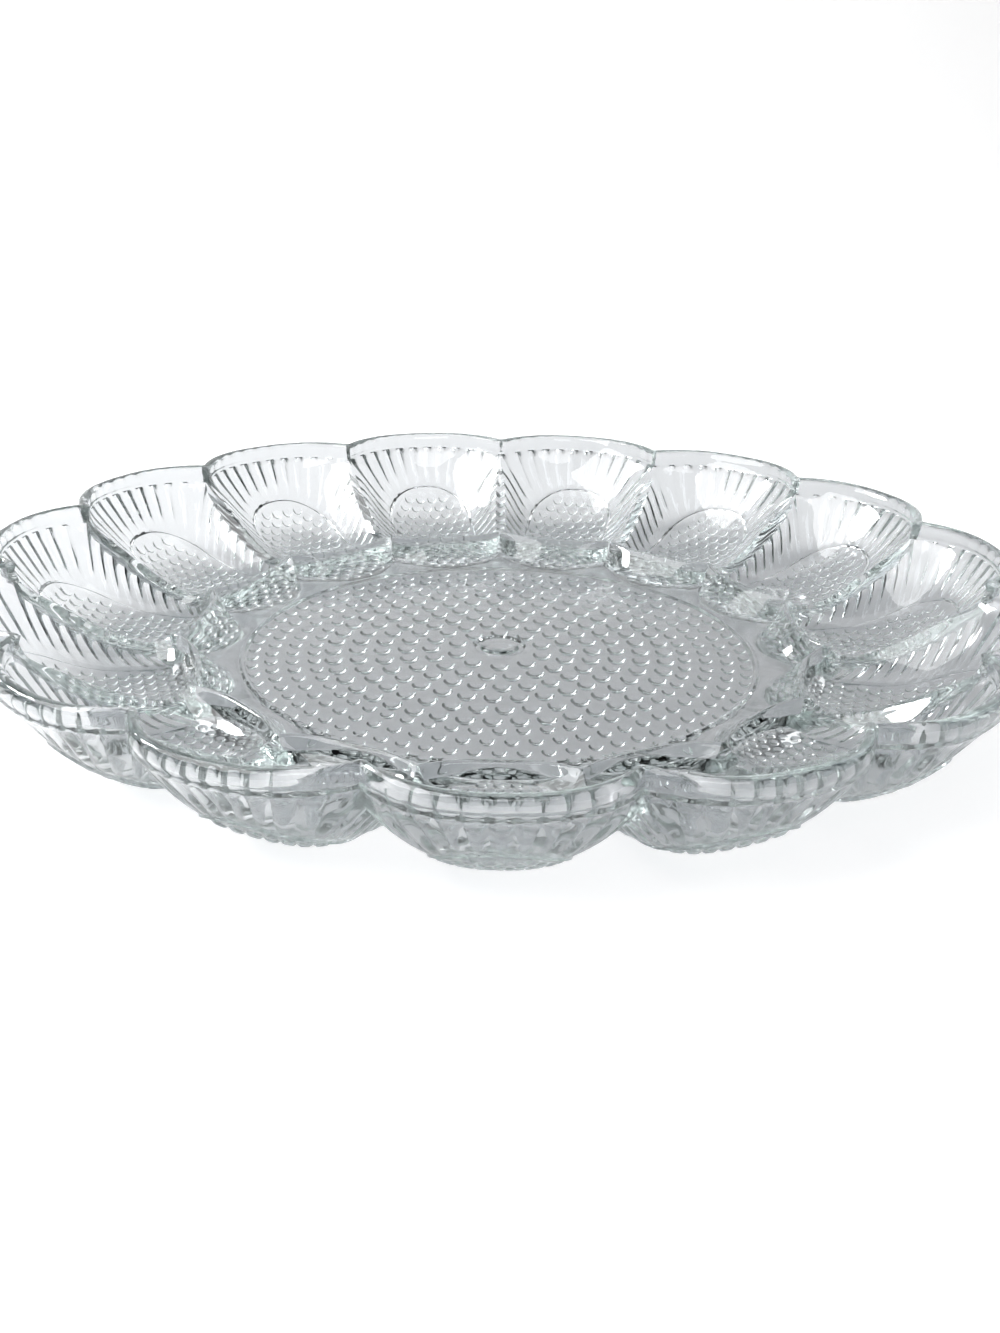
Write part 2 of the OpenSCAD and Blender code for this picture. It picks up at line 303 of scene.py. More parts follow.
def make_hob_tree():
    """The tree that turns points and an outline into a hobbed sheet, and its inputs' identifiers."""
    tree = bpy.data.node_groups.new("hob_sheet", "GeometryNodeTree")
    ids = sockets(tree, [
        ("Points", "NodeSocketGeometry", "INPUT"), ("Outline", "NodeSocketObject", "INPUT"),
        ("Sides", "NodeSocketInt", "INPUT"), ("Rings", "NodeSocketInt", "INPUT"),
        ("Tip", "NodeSocketFloat", "INPUT"), ("Soft", "NodeSocketFloat", "INPUT"),
        ("Weld", "NodeSocketFloat", "INPUT"),
        ("Material", "NodeSocketMaterial", "INPUT"), ("Sheet", "NodeSocketGeometry", "OUTPUT"),
    ])
    link = tree.links.new
    come, go = node(tree, "NodeGroupInput"), node(tree, "NodeGroupOutput")
    cone = node(tree, "GeometryNodeMeshCone", fill_type="NONE")
    for name, value in {"Radius Top": 0, "Radius Bottom": 1, "Depth": 1}.items():
        cone.inputs[name].default_value = value
    link(come.outputs["Sides"], cone.inputs["Vertices"])
    link(come.outputs["Rings"], cone.inputs["Side Segments"])
    place = node(tree, "GeometryNodeInputPosition")
    parts = node(tree, "ShaderNodeSeparateXYZ")
    link(place.outputs[0], parts.inputs[0])
    share = maths(tree, "SUBTRACT", 1.0, parts.outputs[2])
    spread = maths(tree, "SINE", maths(tree, "MULTIPLY", share, math.pi / 2))
    scale = maths(tree, "DIVIDE", spread, maths(tree, "MAXIMUM", share, NOT_ZERO))
    inset = maths(tree, "SUBTRACT", 1.0, spread)
    climb = maths(tree, "DIVIDE", inset, maths(tree, "SUBTRACT", 1.0, come.outputs["Tip"]))
    past = maths(tree, "POWER", maths(tree, "SUBTRACT", climb, 1.0), 2.0)
    soft = maths(tree, "POWER", come.outputs["Soft"], 2.0)
    bend = maths(tree, "SQRT", maths(tree, "ADD", past, soft))
    rise = maths(tree, "SUBTRACT", maths(tree, "ADD", climb, 1.0), bend)
    depth = maths(tree, "MAXIMUM", maths(tree, "MULTIPLY", rise, 0.5), 0.0)
    where = node(tree, "ShaderNodeCombineXYZ")
    link(maths(tree, "MULTIPLY", parts.outputs[0], scale), where.inputs[0])
    link(maths(tree, "MULTIPLY", parts.outputs[1], scale), where.inputs[1])
    link(maths(tree, "MULTIPLY", depth, -1.0), where.inputs[2])
    hob = node(tree, "GeometryNodeSetPosition")
    link(cone.outputs["Mesh"], hob.inputs["Geometry"])
    link(where.outputs[0], hob.inputs["Position"])
    size = node(tree, "GeometryNodeInputNamedAttribute", data_type="FLOAT_VECTOR")
    size.inputs["Name"].default_value = "hob_size"
    spots = node(tree, "GeometryNodeInstanceOnPoints")
    link(come.outputs["Points"], spots.inputs["Points"])
    link(hob.outputs[0], spots.inputs["Instance"])
    link(size.outputs[0], spots.inputs["Scale"])
    hobs = node(tree, "GeometryNodeRealizeInstances")
    link(spots.outputs[0], hobs.inputs[0])
    sides = node(tree, "GeometryNodeInputMeshEdgeNeighbors")
    edge = node(tree, "FunctionNodeCompare", data_type="INT", operation="EQUAL")
    link(sides.outputs[0], edge.inputs[2])
    edge.inputs[3].default_value = 1
    rings = node(tree, "GeometryNodeMeshToCurve")
    link(hobs.outputs[0], rings.inputs["Mesh"])
    link(edge.outputs[0], rings.inputs["Selection"])
    outline = node(tree, "GeometryNodeObjectInfo")
    link(come.outputs["Outline"], outline.inputs["Object"])
    border = node(tree, "GeometryNodeMeshToCurve")
    link(outline.outputs["Geometry"], border.inputs["Mesh"])
    lines = node(tree, "GeometryNodeJoinGeometry")
    link(border.outputs[0], lines.inputs[0])
    link(rings.outputs[0], lines.inputs[0])
    fill = node(tree, "GeometryNodeFillCurve")
    link(lines.outputs[0], fill.inputs[0])
    whole = node(tree, "GeometryNodeJoinGeometry")
    link(fill.outputs[0], whole.inputs[0])
    link(hobs.outputs[0], whole.inputs[0])
    weld = node(tree, "GeometryNodeMergeByDistance")
    link(whole.outputs[0], weld.inputs["Geometry"])
    link(come.outputs["Weld"], weld.inputs["Distance"])
    real = node(tree, "GeometryNodeRealizeInstances")
    link(weld.outputs[0], real.inputs[0])
    finish = node(tree, "GeometryNodeSetMaterial")
    link(real.outputs[0], finish.inputs["Geometry"])
    link(come.outputs["Material"], finish.inputs["Material"])
    link(finish.outputs[0], go.inputs[0])
    return tree, ids


hob_tree, hob_ids = make_hob_tree()
print("hob tree with", len(hob_tree.nodes), "nodes")

# %% [markdown]
# To run the tree, its points and its outline are put into two passing objects. The tree's inputs
# are set by their identifiers, the evaluated object becomes a plain mesh, and the objects go. A
# hob is a cone cut off at two thirds of its radius. Its shoulder and its depth were chosen by
# what the glass shows: a bright dot on one side of each hob and a dark crescent on the other.

# %% Run the hob tree
WELD = 4e-6
HOB_TIP, HOB_SOFT, HOB_DEPTH_SHARE = 0.66, 0.28, 0.45


def loose_object(name, xy, edges=()):
    """A passing object with plan points in mm."""
    mesh = bpy.data.meshes.new(name)
    mesh.from_pydata([(x * MM, y * MM, 0) for x, y in xy], edges, [])
    made = bpy.data.objects.new(name, mesh)
    bpy.context.scene.collection.objects.link(made)
    return made


def evaluated_mesh(obj):
    """The plain mesh that an object's modifiers make, with the object and its modifiers gone."""
    bpy.context.view_layer.update()
    graph = bpy.context.evaluated_depsgraph_get()
    mesh = bpy.data.meshes.new_from_object(obj.evaluated_get(graph))
    bpy.data.objects.remove(obj)
    return mesh


def hob_sheet(name, outline, centres, radii, depths, sides, rings):
    """Skin of hobs inside an outline: plan points in mm, how far each hangs, and its faces."""
    n = len(outline)
    ring = loose_object(name + "_outline", outline, [(i, (i + 1) % n) for i in range(n)])
    points = loose_object(name, centres)
    size = points.data.attributes.new("hob_size", "FLOAT_VECTOR", "POINT")
    size.data.foreach_set("vector", np.stack([radii, radii, depths], -1).ravel() * MM)
    rule = points.modifiers.new("hobs", "NODES")
    rule.node_group = hob_tree
    shape = {"Sides": sides, "Rings": rings, "Tip": HOB_TIP, "Soft": HOB_SOFT}
    for key, value in {"Outline": ring, "Weld": WELD, **shape}.items():
        rule[hob_ids[key]] = value
    mesh = evaluated_mesh(points)
    bpy.data.objects.remove(ring)
    co = np.empty(len(mesh.vertices) * 3)
    mesh.vertices.foreach_get("co", co)
    co = co.reshape(-1, 3) / MM
    faces = [tuple(p.vertices) for p in mesh.polygons]
    bpy.data.meshes.remove(mesh)
    return co[:, :2], co[:, 2], faces


print("a hob of the tray is", HOB_DEPTH_SHARE, "of its radius deep")

# %% [markdown]
# The underside of a cup has two zones. A tongue of hobs runs from the foot outwards, and
# convex panels with thin grooves between them fan out from the tongue to the ridges and the
# rim. The panels could be cut one by one with a Boolean, which is slow and frays at the ends.
# Here they are a grid whose columns run from the tongue's border to the cup's edge, so each
# groove follows one column and stays crisp.

# %% Border of the tongue
PANELS_RIM, PANELS_SIDE, PANEL_COLUMNS = 11, 11, 6
COLUMNS = PANELS_RIM * PANEL_COLUMNS
SIDE_COLUMNS = PANELS_SIDE * PANEL_COLUMNS
STRIP_COLUMNS = 2 * SIDE_COLUMNS + COLUMNS
STRIP_ROWS = 9
# The hobbed part of the foot ends at this q. The strip's rows share the rest of the foot.
PATCH_Q = 1 - 2 * STRIP_ROWS / COLUMNS
TONGUE_END, TONGUE_WIDE_AT, TONGUE_HALF = 132.3, 117.0, 14.3
TONGUE_ROUND = 2.3
BORDER_STEPS = 60


def tongue_half_width(y):
    """Half the tongue's width at a distance from the axis: narrower at the foot, round at its end."""
    foot_y = foot_radius(PATCH_Q) * math.cos(PATCH_Q * HALF_CUP)
    foot_w = foot_radius(PATCH_Q) * math.sin(PATCH_Q * HALF_CUP)
    y = np.asarray(y, float)
    out = np.clip((y - TONGUE_WIDE_AT) / (TONGUE_END - TONGUE_WIDE_AT), 0, 1)
    back = np.clip((TONGUE_WIDE_AT - y) / (TONGUE_WIDE_AT - foot_y), 0, 1)
    end = TONGUE_HALF * (1 - out ** TONGUE_ROUND) ** (1 / TONGUE_ROUND)
    return np.where(y > TONGUE_WIDE_AT, end, TONGUE_HALF + (foot_w - TONGUE_HALF) * back ** 2)


def tongue_border():
    """The tongue's border from the foot on the left, round its end, to the foot on the right."""
    foot_y = foot_radius(PATCH_Q) * math.cos(PATCH_Q * HALF_CUP)
    straight = np.linspace(foot_y, TONGUE_WIDE_AT, BORDER_STEPS)
    angle = np.linspace(0, math.pi / 2, BORDER_STEPS)[1:]
    end = TONGUE_WIDE_AT + (TONGUE_END - TONGUE_WIDE_AT) * np.sin(angle) ** (2 / TONGUE_ROUND)
    y = np.concatenate([straight, end])
    w = np.concatenate([tongue_half_width(straight), TONGUE_HALF * np.cos(angle) ** (2 / TONGUE_ROUND)])
    left = np.stack([-w, -y], -1)
    right = left[::-1][1:] * [-1, 1]
    return np.vstack([left, right])


print("tongue", round(2 * TONGUE_HALF, 1), "mm wide,", len(tongue_border()), "points round it")

# %% [markdown]
# Each column of the strip starts on the border and ends on the edge. On the border the columns
# that go to a ridge take about a third of the length each, and those that go to the rim take the
# rest, so the panels open like a fan.

# %% Where the strip's columns start and end
SIDES_SHARE = 0.344


def spaced(line, shares):
    """Points of a line at the given shares of its length."""
    step = np.concatenate([[0], np.cumsum(np.linalg.norm(np.diff(line, axis=0), axis=1))])
    s = np.asarray(shares) * step[-1]
    return np.stack([np.interp(s, step, line[:, 0]), np.interp(s, step, line[:, 1])], -1)


def cup_edge():
    """The cup's edge in plan: up the left ridge, round the rim, down the right ridge."""
    side_r = np.linspace(FOOT_RIDGE_R, NOTCH_R - UNDER_RIM_IN, SIDE_COLUMNS + 1)
    left = plan(side_r, -1 + 0 * side_r)
    q = np.linspace(-1, 1, COLUMNS + 1)
    rim = plan(rim_radius(q) - UNDER_RIM_IN, q)
    right = left[::-1] * [-1, 1]
    return np.vstack([left, rim[1:-1], right])


def border_points():
    """Where each column leaves the tongue: one ridge's, then the rim's, then the other ridge's."""
    shares = np.concatenate([
        np.linspace(0, SIDES_SHARE, SIDE_COLUMNS + 1),
        np.linspace(SIDES_SHARE, 1 - SIDES_SHARE, COLUMNS + 1)[1:-1],
        np.linspace(1 - SIDES_SHARE, 1, SIDE_COLUMNS + 1),
    ])
    return spaced(tongue_border(), shares)


print(len(border_points()), "columns start on the border and", len(cup_edge()), "end on the edge")

# %% [markdown]
# The strip lies on the smooth underside and is then pushed along the surface's normal: outwards
# for the thin bead round the tongue, inwards for the grooves. Near the foot the first columns
# bend to the foot line, and the grooves fade out, because the columns lie close together there.

# %% Fluted strip
FLUTE_DEPTH, BORDER_BEAD = 0.75, 0.5
BEAD_SHARE, FLUTES_FROM_SHARE = 0.07, 0.15
FLUTES_GROW_SHARE, FLUTES_GROW_POWER = 0.45, 0.8
RELIEF_FROM_R, RELIEF_FULL_OVER = 88, 8
FOOT_BEND_COLUMNS = 20
SLOPE_STEP = 0.2
ROW_SHARES = np.concatenate([
    [0, BEAD_SHARE / 2, BEAD_SHARE], np.linspace(FLUTES_FROM_SHARE, 1, STRIP_ROWS - 2),
])


def shape_words(grid):
    """The size of a grid of points, for printing."""
    return "%d columns and %d rows" % grid.shape[:2]


def strip_grid():
    """Plan points of the strip, as columns by rows, from the border to the edge."""
    inner, outer = border_points(), cup_edge()
    t = ROW_SHARES[None, :, None]
    grid = inner[:, None] * (1 - t) + outer[:, None] * t
    q = np.linspace(-PATCH_Q, -1, STRIP_ROWS + 1)
    foot = plan(foot_radius(q), q)
    bend = foot - grid[0]
    fade = np.clip(1 - np.arange(STRIP_COLUMNS + 1) / FOOT_BEND_COLUMNS, 0, 1)[:, None, None]
    grid = grid + bend[None] * fade
    return grid + (bend * [-1, 1])[None] * fade[::-1]


def slope(x, y):
    """How the smooth underside rises along X and along Y."""
    h = SLOPE_STEP
    return ((under_height(x + h, y) - under_height(x - h, y)) / (2 * h),
            (under_height(x, y + h) - under_height(x, y - h)) / (2 * h))


def panel_dip(column):
    """0 in the middle of a panel and 1 in the groove beside it."""
    across = (column % PANEL_COLUMNS) / PANEL_COLUMNS
    return (2 * across - 1) ** 2


def fluted_strip():
    """Points of the strip with its grooves and the bead round the tongue."""
    grid = strip_grid()
    shape = grid.shape[:2]
    x, y = grid[..., 0].ravel(), grid[..., 1].ravel()
    z = under_height(x, y)
    sx, sy = slope(x, y)
    inward = np.stack([-sx, -sy, np.ones(len(x))], -1)
    inward /= np.linalg.norm(inward, axis=1)[:, None]
    column, row = np.divmod(np.arange(len(x)), shape[1])
    grows = np.clip((ROW_SHARES[row] - BEAD_SHARE) / FLUTES_GROW_SHARE, 0, 1) ** FLUTES_GROW_POWER
    away = np.clip((np.hypot(x, y) - RELIEF_FROM_R) / RELIEF_FULL_OVER, 0, 1)
    dip = FLUTE_DEPTH * panel_dip(column) * grows * away
    bead = -BORDER_BEAD * (row == 1) * away
    at_plane = (column <= SIDE_COLUMNS) | (column >= STRIP_COLUMNS - SIDE_COLUMNS)
    at_plane &= row == shape[1] - 1
    # On a ridge the push stays in the plane where two cups meet.
    side = np.sign(x)
    plane = np.stack([side * math.cos(HALF_CUP), math.sin(HALF_CUP) + 0 * side, 0 * side], -1)
    out_of_plane = (inward * plane).sum(1)[:, None] * plane
    inward = np.where(at_plane[:, None], inward - out_of_plane, inward)
    points = np.stack([x, y, z], -1) + inward * (dip + bead)[:, None]
    return points.reshape(*shape, 3)


strip = fluted_strip()
print("fluted strip of", shape_words(strip))

# %% [markdown]
# Inside the tongue the hobs stand in staggered rows that fit its width. They are smaller than
# those of the tray. The sheet between them is filled by the hob tree, and the whole is then laid
# on the underside.

# %% Tongue of hobs
HOB_PITCH, HOB_R, CUP_HOB_DEPTH = 3.75, 1.65, 0.6
CUP_HOB_SIDES, CUP_HOB_RINGS = 12, 5
# Rows lie closer than the hobs in them, and a row may be stretched to fill the tongue's width.
ROW_PITCH_SHARE, STRETCH = 0.88, 1.12
TONGUE_MARGIN, ROOM_AHEAD = 2.15, 0.9
FIRST_HOB_ROW, HOB_FOOT_GAP = 79.2, 0.4
WHOLE = 1e-6


def clear_of_foot(centres):
    """Centres whose hobs stand on the cup's own side of its foot line."""
    q = np.arctan2(centres[:, 0], -centres[:, 1]) / HALF_CUP
    return centres[np.hypot(centres[:, 0], centres[:, 1]) > foot_radius(q) + HOB_R + HOB_FOOT_GAP]


def tongue_centres():
    """Staggered rows of hobs that keep clear of the tongue's border."""
    rows = []
    y, turn = FIRST_HOB_ROW, 0
    while y < TONGUE_END - TONGUE_MARGIN:
        room = tongue_half_width(y + ROOM_AHEAD) - TONGUE_MARGIN
        count = max(0, int(2 * room / HOB_PITCH + WHOLE))
        count -= (count + turn) % 2
        if room > 0:
            pitch = HOB_PITCH if count < 1 else min(HOB_PITCH * STRETCH, 2 * room / count)
            rows += [((i - count / 2) * pitch, -y) for i in range(count + 1)]
        y += HOB_PITCH * ROW_PITCH_SHARE
        turn += 1
    return clear_of_foot(np.array(rows))


def tongue_sheet(border, foot):
    """Points and faces of the hobbed sheet inside the tongue's border and the foot line."""
    outline = np.vstack([border, foot])
    centres = tongue_centres()
    radii = np.full(len(centres), HOB_R)
    depths = np.full(len(centres), CUP_HOB_DEPTH)
    xy, hang, faces = hob_sheet("cup_hobs", outline, centres, radii, depths, CUP_HOB_SIDES, CUP_HOB_RINGS)
    z = under_height(xy[:, 0], xy[:, 1]) + hang
    return np.column_stack([xy, z]), faces


print(len(tongue_centres()), "hobs under a cup")

# %% [markdown]
# The inside of a cup is smooth. Its grid has the same columns as the rim's panels, so the rim's
# outer face, its rounded top and the bowl are one sheet that runs from the bead under the rim
# over the top and down to the foot. The rim's face is parted into soft tiles in line with the
# panels. A share for each height of its section says how deep the joints between them are.

# %% Upper sheet of a cup
TILE_DEPTH = 0.2
TILE_SHARES = [1.0, 0.25, 0.2, 0.35, 0.6, 1.0, 1.0, 0.9, 0.5, 0.15, 0, 0]
COLUMN_Q = np.linspace(-1, 1, COLUMNS + 1)


def upper_sheet():
    """Points of the rim and the bowl, as columns by rows, from under the rim to the foot."""
    columns = []
    for i, q in enumerate(COLUMN_Q):
        share = crest_share(q, RIM_POWER)
        dip = panel_dip(i)
        rim = [(rim_radius(q) - inside - TILE_DEPTH * tile * dip, z)
               for (inside, z), tile in zip(RIM_SECTION, TILE_SHARES)]
        soft = foot_blend(bowl_rows, BOWL_FOOT_ROWS)[::-1]
        share_r = soft * abs(q) ** FOOT_POWER + (1 - soft) * share
        r = mid_bowl[:, 0] + (ridge_bowl[:, 0] - mid_bowl[:, 0]) * share_r
        z = mid_bowl[:, 1] + (ridge_bowl[:, 1] - mid_bowl[:, 1]) * share
        r = np.concatenate([[p[0] for p in rim], r])
        z = np.concatenate([[p[1] for p in rim], z])
        columns.append(np.column_stack([plan(r, q), z]))
    return np.array(columns)


upper = upper_sheet()
print("upper sheet of", shape_words(upper))

# %% [markdown]
# Glass only looks right when every surface closes a volume, so the sheets have to be joined into
# one skin with its faces outwards. A small class collects points in millimetres and faces, and
# marks the faces that lie inside the real glass. Then doubles are welded, normals are made to
# agree, and edges that are sharp or border on a mark stay hard.

# %% Closing a skin
SEAM = "seam"
SHARP_ANGLE = math.radians(38)
SPECK, CM3 = 1e-7, 1e-6


class Skin:
    """Collects points and faces, and remembers which faces are seams inside the glass."""

    def __init__(self):
        """Starts empty."""
        self.points, self.faces, self.seams = [], [], []

    def add(self, points):
        """Adds points given in mm, and returns their numbers."""
        first = len(self.points)
        self.points += [tuple(float(v) * MM for v in p) for p in points]
        return list(range(first, len(self.points)))

    def face(self, *corners, seam=False):
        """Adds a face by its points' numbers."""
        self.faces.append(corners)
        self.seams.append(seam)

    def grid(self, grid):
        """Adds a grid of points with its faces, and returns the points' numbers as a grid."""
        columns, rows = grid.shape[:2]
        index = self.add(grid.reshape(-1, 3))
        for c in range(columns - 1):
            for r in range(rows - 1):
                a = c * rows + r
                self.face(index[a], index[a + rows], index[a + rows + 1], index[a + 1])
        return np.array(index).reshape(columns, rows)

    def sheet(self, points, faces):
        """Adds points with faces that count from 0."""
        index = self.add(points)
        for f in faces:
            self.face(*[index[i] for i in f])

    def mesh(self, name):
        """The closed mesh in metres, with its marks in a face attribute."""
        bm = bmesh.new()
        layer = bm.faces.layers.float.new(SEAM)
        verts = [bm.verts.new(p) for p in self.points]
        for corners, seam in zip(self.faces, self.seams):
            made = bm.faces.new([verts[i] for i in corners])
            made[layer] = float(seam)
            made.smooth = True
        bmesh.ops.remove_doubles(bm, verts=bm.verts, dist=WELD)
        bmesh.ops.dissolve_degenerate(bm, edges=bm.edges, dist=SPECK)
        big = [f for f in bm.faces if len(f.verts) > 4]
        bmesh.ops.triangulate(bm, faces=big)
        bmesh.ops.recalc_face_normals(bm, faces=bm.faces)
        open_edges = sum(not e.is_manifold for e in bm.edges)
        volume = bm.calc_volume(signed=True)
        if volume < 0:
            bmesh.ops.reverse_faces(bm, faces=bm.faces)
        for e in bm.edges:
            marks = {f[layer] > 0.5 for f in e.link_faces}
            e.smooth = len(marks) == 1 and e.calc_face_angle(0) < SHARP_ANGLE
        made = bpy.data.meshes.new(name)
        bm.to_mesh(made)
        bm.free()
        size = round(abs(volume) / CM3, 1)
        print(name, len(made.polygons), "faces,", open_edges, "open edges,", size, "cm3")
        return made


print("a face attribute named", SEAM, "marks the closing faces")

# %% [markdown]
# A cup is now three sheets: the upper one, the fluted strip and the hobbed tongue. Under the
# rim, the upper sheet's first row and the strip's last row are one line, so they share points.
# What is left open is closed by the seam faces: one along each ridge and a narrow band along
# the foot.

# %% One cup
def cup_mesh():
    """The skin of cup 1, which is nearest to the camera."""
    skin = Skin()
    top = skin.grid(upper)
    low = skin.grid(strip)
    foot_q = np.linspace(PATCH_Q, -PATCH_Q, COLUMNS - 2 * STRIP_ROWS + 1)[1:-1]
    foot = plan(foot_radius(foot_q), foot_q)
    border = strip[:, 0, :2]
    points, faces = tongue_sheet(border, foot)
    skin.sheet(points, faces)
    for i in range(COLUMNS + 1):
        skin.points[top[i, 0]] = skin.points[low[SIDE_COLUMNS + i, -1]]
    foot_all = plan(foot_radius(COLUMN_Q), COLUMN_Q)
    bottom = skin.add(np.column_stack([foot_all, np.full(len(foot_all), TRAY_UNDER)]))
    for i in range(COLUMNS):
        skin.face(top[i, -1], top[i + 1, -1], bottom[i + 1], bottom[i], seam=True)
    left = list(top[0, :]) + list(low[:SIDE_COLUMNS, -1])
    right = list(top[-1, :]) + list(low[STRIP_COLUMNS - SIDE_COLUMNS + 1:, -1][::-1])
    skin.face(*left, seam=True)
    skin.face(*right, seam=True)
    return skin.mesh("egg_cup")


cup = cup_mesh()

# %% [markdown]
# The tray is a thin disc, slightly domed, with a bead and a plain button on top and rings of
# hobs below. Its edge is the line of all the cups' feet. Its top is a turned shape, so it is
# made of rings of points: first the button, then the field, then the bead.

# %% Top of the tray
TRAY_TOP, FIELD_R, DOME_H = 4.2, 66.2, 1.5
TRAY_COLUMNS = 198
BUTTON_RINGS = [
    (2.5, 6.2), (4.6, 6.17), (5.05, 6.02), (5.22, 5.7), (5.3, 5.25), (5.45, 5.08), (6.3, 5.08),
    (6.9, 5.3), (7.3, 5.62),
]
BUTTON_CROWN = 0.02
FIELD_START, FIELD_END, FIELD_RINGS = 8.2, 69.8, 23
BEAD_RINGS = [
    (70.2, 4.2), (70.6, 4.42), (70.95, 4.62), (71.3, 4.7), (71.65, 4.62), (72.0, 4.45), (72.3, 4.3),
]
# The soft corner before a cup's inner wall: distance inside the foot line, and height.
COVE_STEPS = [(2.8, 4.24), (2.0, 4.34), (1.3, 4.5), (0.6, 4.73)]


def dome(r):
    """Height of the field's dome at a radius."""
    return DOME_H * (1 - np.minimum(r / FIELD_R, 1) ** 2)


def foot_outline():
    """The tray's edge: the foot lines of all cups, a hair inside them."""
    one = plan(foot_radius(COLUMN_Q) - SEAM_GAP, COLUMN_Q)[:-1]
    turns = [np.array([[math.cos(a), math.sin(a)], [-math.sin(a), math.cos(a)]])
             for a in np.arange(CUPS) * CUP_STEP]
    return np.vstack([one @ t for t in turns])


def zip_rings(skin, inner, outer):
    """Faces between two closed rings that start at the same angle and have different counts."""
    i = j = 0
    while i < len(inner) or j < len(outer):
        a, b = inner[i % len(inner)], outer[j % len(outer)]
        if j >= len(outer) or (i < len(inner) and (i + 1) / len(inner) <= (j + 1) / len(outer)):
            skin.face(a, b, inner[(i + 1) % len(inner)])
            i += 1
        else:
            skin.face(a, b, outer[(j + 1) % len(outer)])
            j += 1


def join_rings(skin, rings):
    """Faces between closed rings that have the same count."""
    count = len(rings[0])
    for a, b in zip(rings, rings[1:]):
        for i in range(count):
            j = (i + 1) % count
            skin.face(a[i], b[i], b[j], a[j])


def tray_top(skin, outline):
    """Adds the upper face from the button to the edge, and returns the points of the edge."""
    start = math.atan2(outline[0, 1], outline[0, 0])
    around = start + np.arange(TRAY_COLUMNS) * 2 * math.pi / TRAY_COLUMNS
    field = [(r, TRAY_TOP + float(dome(r))) for r in np.linspace(FIELD_START, FIELD_END, FIELD_RINGS)]
    rings = []
    for r, z in BUTTON_RINGS + field + BEAD_RINGS:
        level = np.full(TRAY_COLUMNS, z)
        rings.append(skin.add(np.column_stack([r * np.cos(around), r * np.sin(around), level])))
    centre = skin.add([(0, 0, BUTTON_RINGS[0][1] + BUTTON_CROWN)])[0]
    for i in range(TRAY_COLUMNS):
        skin.face(centre, rings[0][i], rings[0][(i + 1) % TRAY_COLUMNS])
    join_rings(skin, rings)
    away = np.hypot(outline[:, 0], outline[:, 1])[:, None]
    cove = [skin.add(np.column_stack([outline * (1 - inside / away), np.full(len(outline), z)]))
            for inside, z in COVE_STEPS + [(0, COVE_TOP)]]
    zip_rings(skin, rings[-1], cove[0])
    join_rings(skin, cove)
    return cove[-1]


print(len(foot_outline()), "points on the tray's edge, the dome is", round(float(dome(0)), 2), "mm high")

# %% [markdown]
# The hobs stand in rings. Each ring has a radius, a count and a turn, which is a share of the
# angle between two hobs. These are the CAD model's values, and here each hob gets its rounded
# shape. A hob never reaches the table, so the platter stands on its cups.

# %% Underside of the tray
BIG_RINGS = [
    (12.4, 10, 0), (19.2, 18, 0.5), (26.0, 24, 0.1), (32.8, 30, 0.75), (39.6, 36, 0.2), (46.4, 42, 0.75),
]
SMALL_RINGS = [(51.7, 54, 0), (57.6, 60, 0.5), (63.5, 66, 0), (68.9, 72, 0)]
BIG_HOB_R, SMALL_HOB_R = 2.65, 1.95
TRAY_HOB_SIDES, TRAY_HOB_RINGS = 16, 6
FLOOR_GAP = 0.06


def ring_points(r, count, turn):
    """The centres of a ring of hobs, counted from the front."""
    a = -math.pi / 2 + (np.arange(count) + turn) * 2 * math.pi / count
    return np.stack([r * np.cos(a), r * np.sin(a)], -1)


def tray_under(skin, outline):
    """Adds the lower face with its hobs."""
    centres = np.vstack([ring_points(*ring) for ring in BIG_RINGS + SMALL_RINGS])
    big = sum(count for r, count, turn in BIG_RINGS)
    radii = np.where(np.arange(len(centres)) < big, BIG_HOB_R, SMALL_HOB_R)
    room = TRAY_UNDER - FLOOR_GAP + dome(np.hypot(centres[:, 0], centres[:, 1]))
    depths = np.minimum(radii * HOB_DEPTH_SHARE, room)
    xy, hang, faces = hob_sheet(
        "tray_hobs", outline, centres, radii, depths, TRAY_HOB_SIDES, TRAY_HOB_RINGS)
    z = TRAY_UNDER + dome(np.hypot(xy[:, 0], xy[:, 1])) + hang
    skin.sheet(np.column_stack([xy, z]), faces)
    print(len(centres), "hobs under the tray")


def tray_mesh():
    """The skin of the tray, closed by a seam face along its edge."""
    skin = Skin()
    outline = foot_outline()
    top = tray_top(skin, outline)
    bottom = skin.add(np.column_stack([outline, np.full(len(outline), TRAY_UNDER)]))
    for i in range(len(outline)):
        j = (i + 1) % len(outline)
        skin.face(top[i], top[j], bottom[j], bottom[i], seam=True)
    tray_under(skin, outline)
    return skin.mesh("hobnail_tray")


tray = tray_mesh()

# %% [markdown]
# Glass bends light at every surface, so the skins have to be closed and have one material.
# Where a cup meets its neighbour or the tray, its closing faces lie inside the real glass. They
# carry a seam mark, and the material lets them through unseen. A little absorption inside gives
# thick places the green tint of cheap soda glass. Pressed glass is never quite even, so a fine
# bump bends the light a little. Shadow rays pass straight through with a slight tint, as real
# glass lets most light reach the table.

# %% Glass
SODA_IOR = 1.52
SODA_GREEN = (0.62, 0.90, 0.80, 1)
WAVES_SCALE, WAVES_DETAIL = 120, 1.5
WAVES_STRENGTH, WAVES_HEIGHT = 0.25, 0.0006


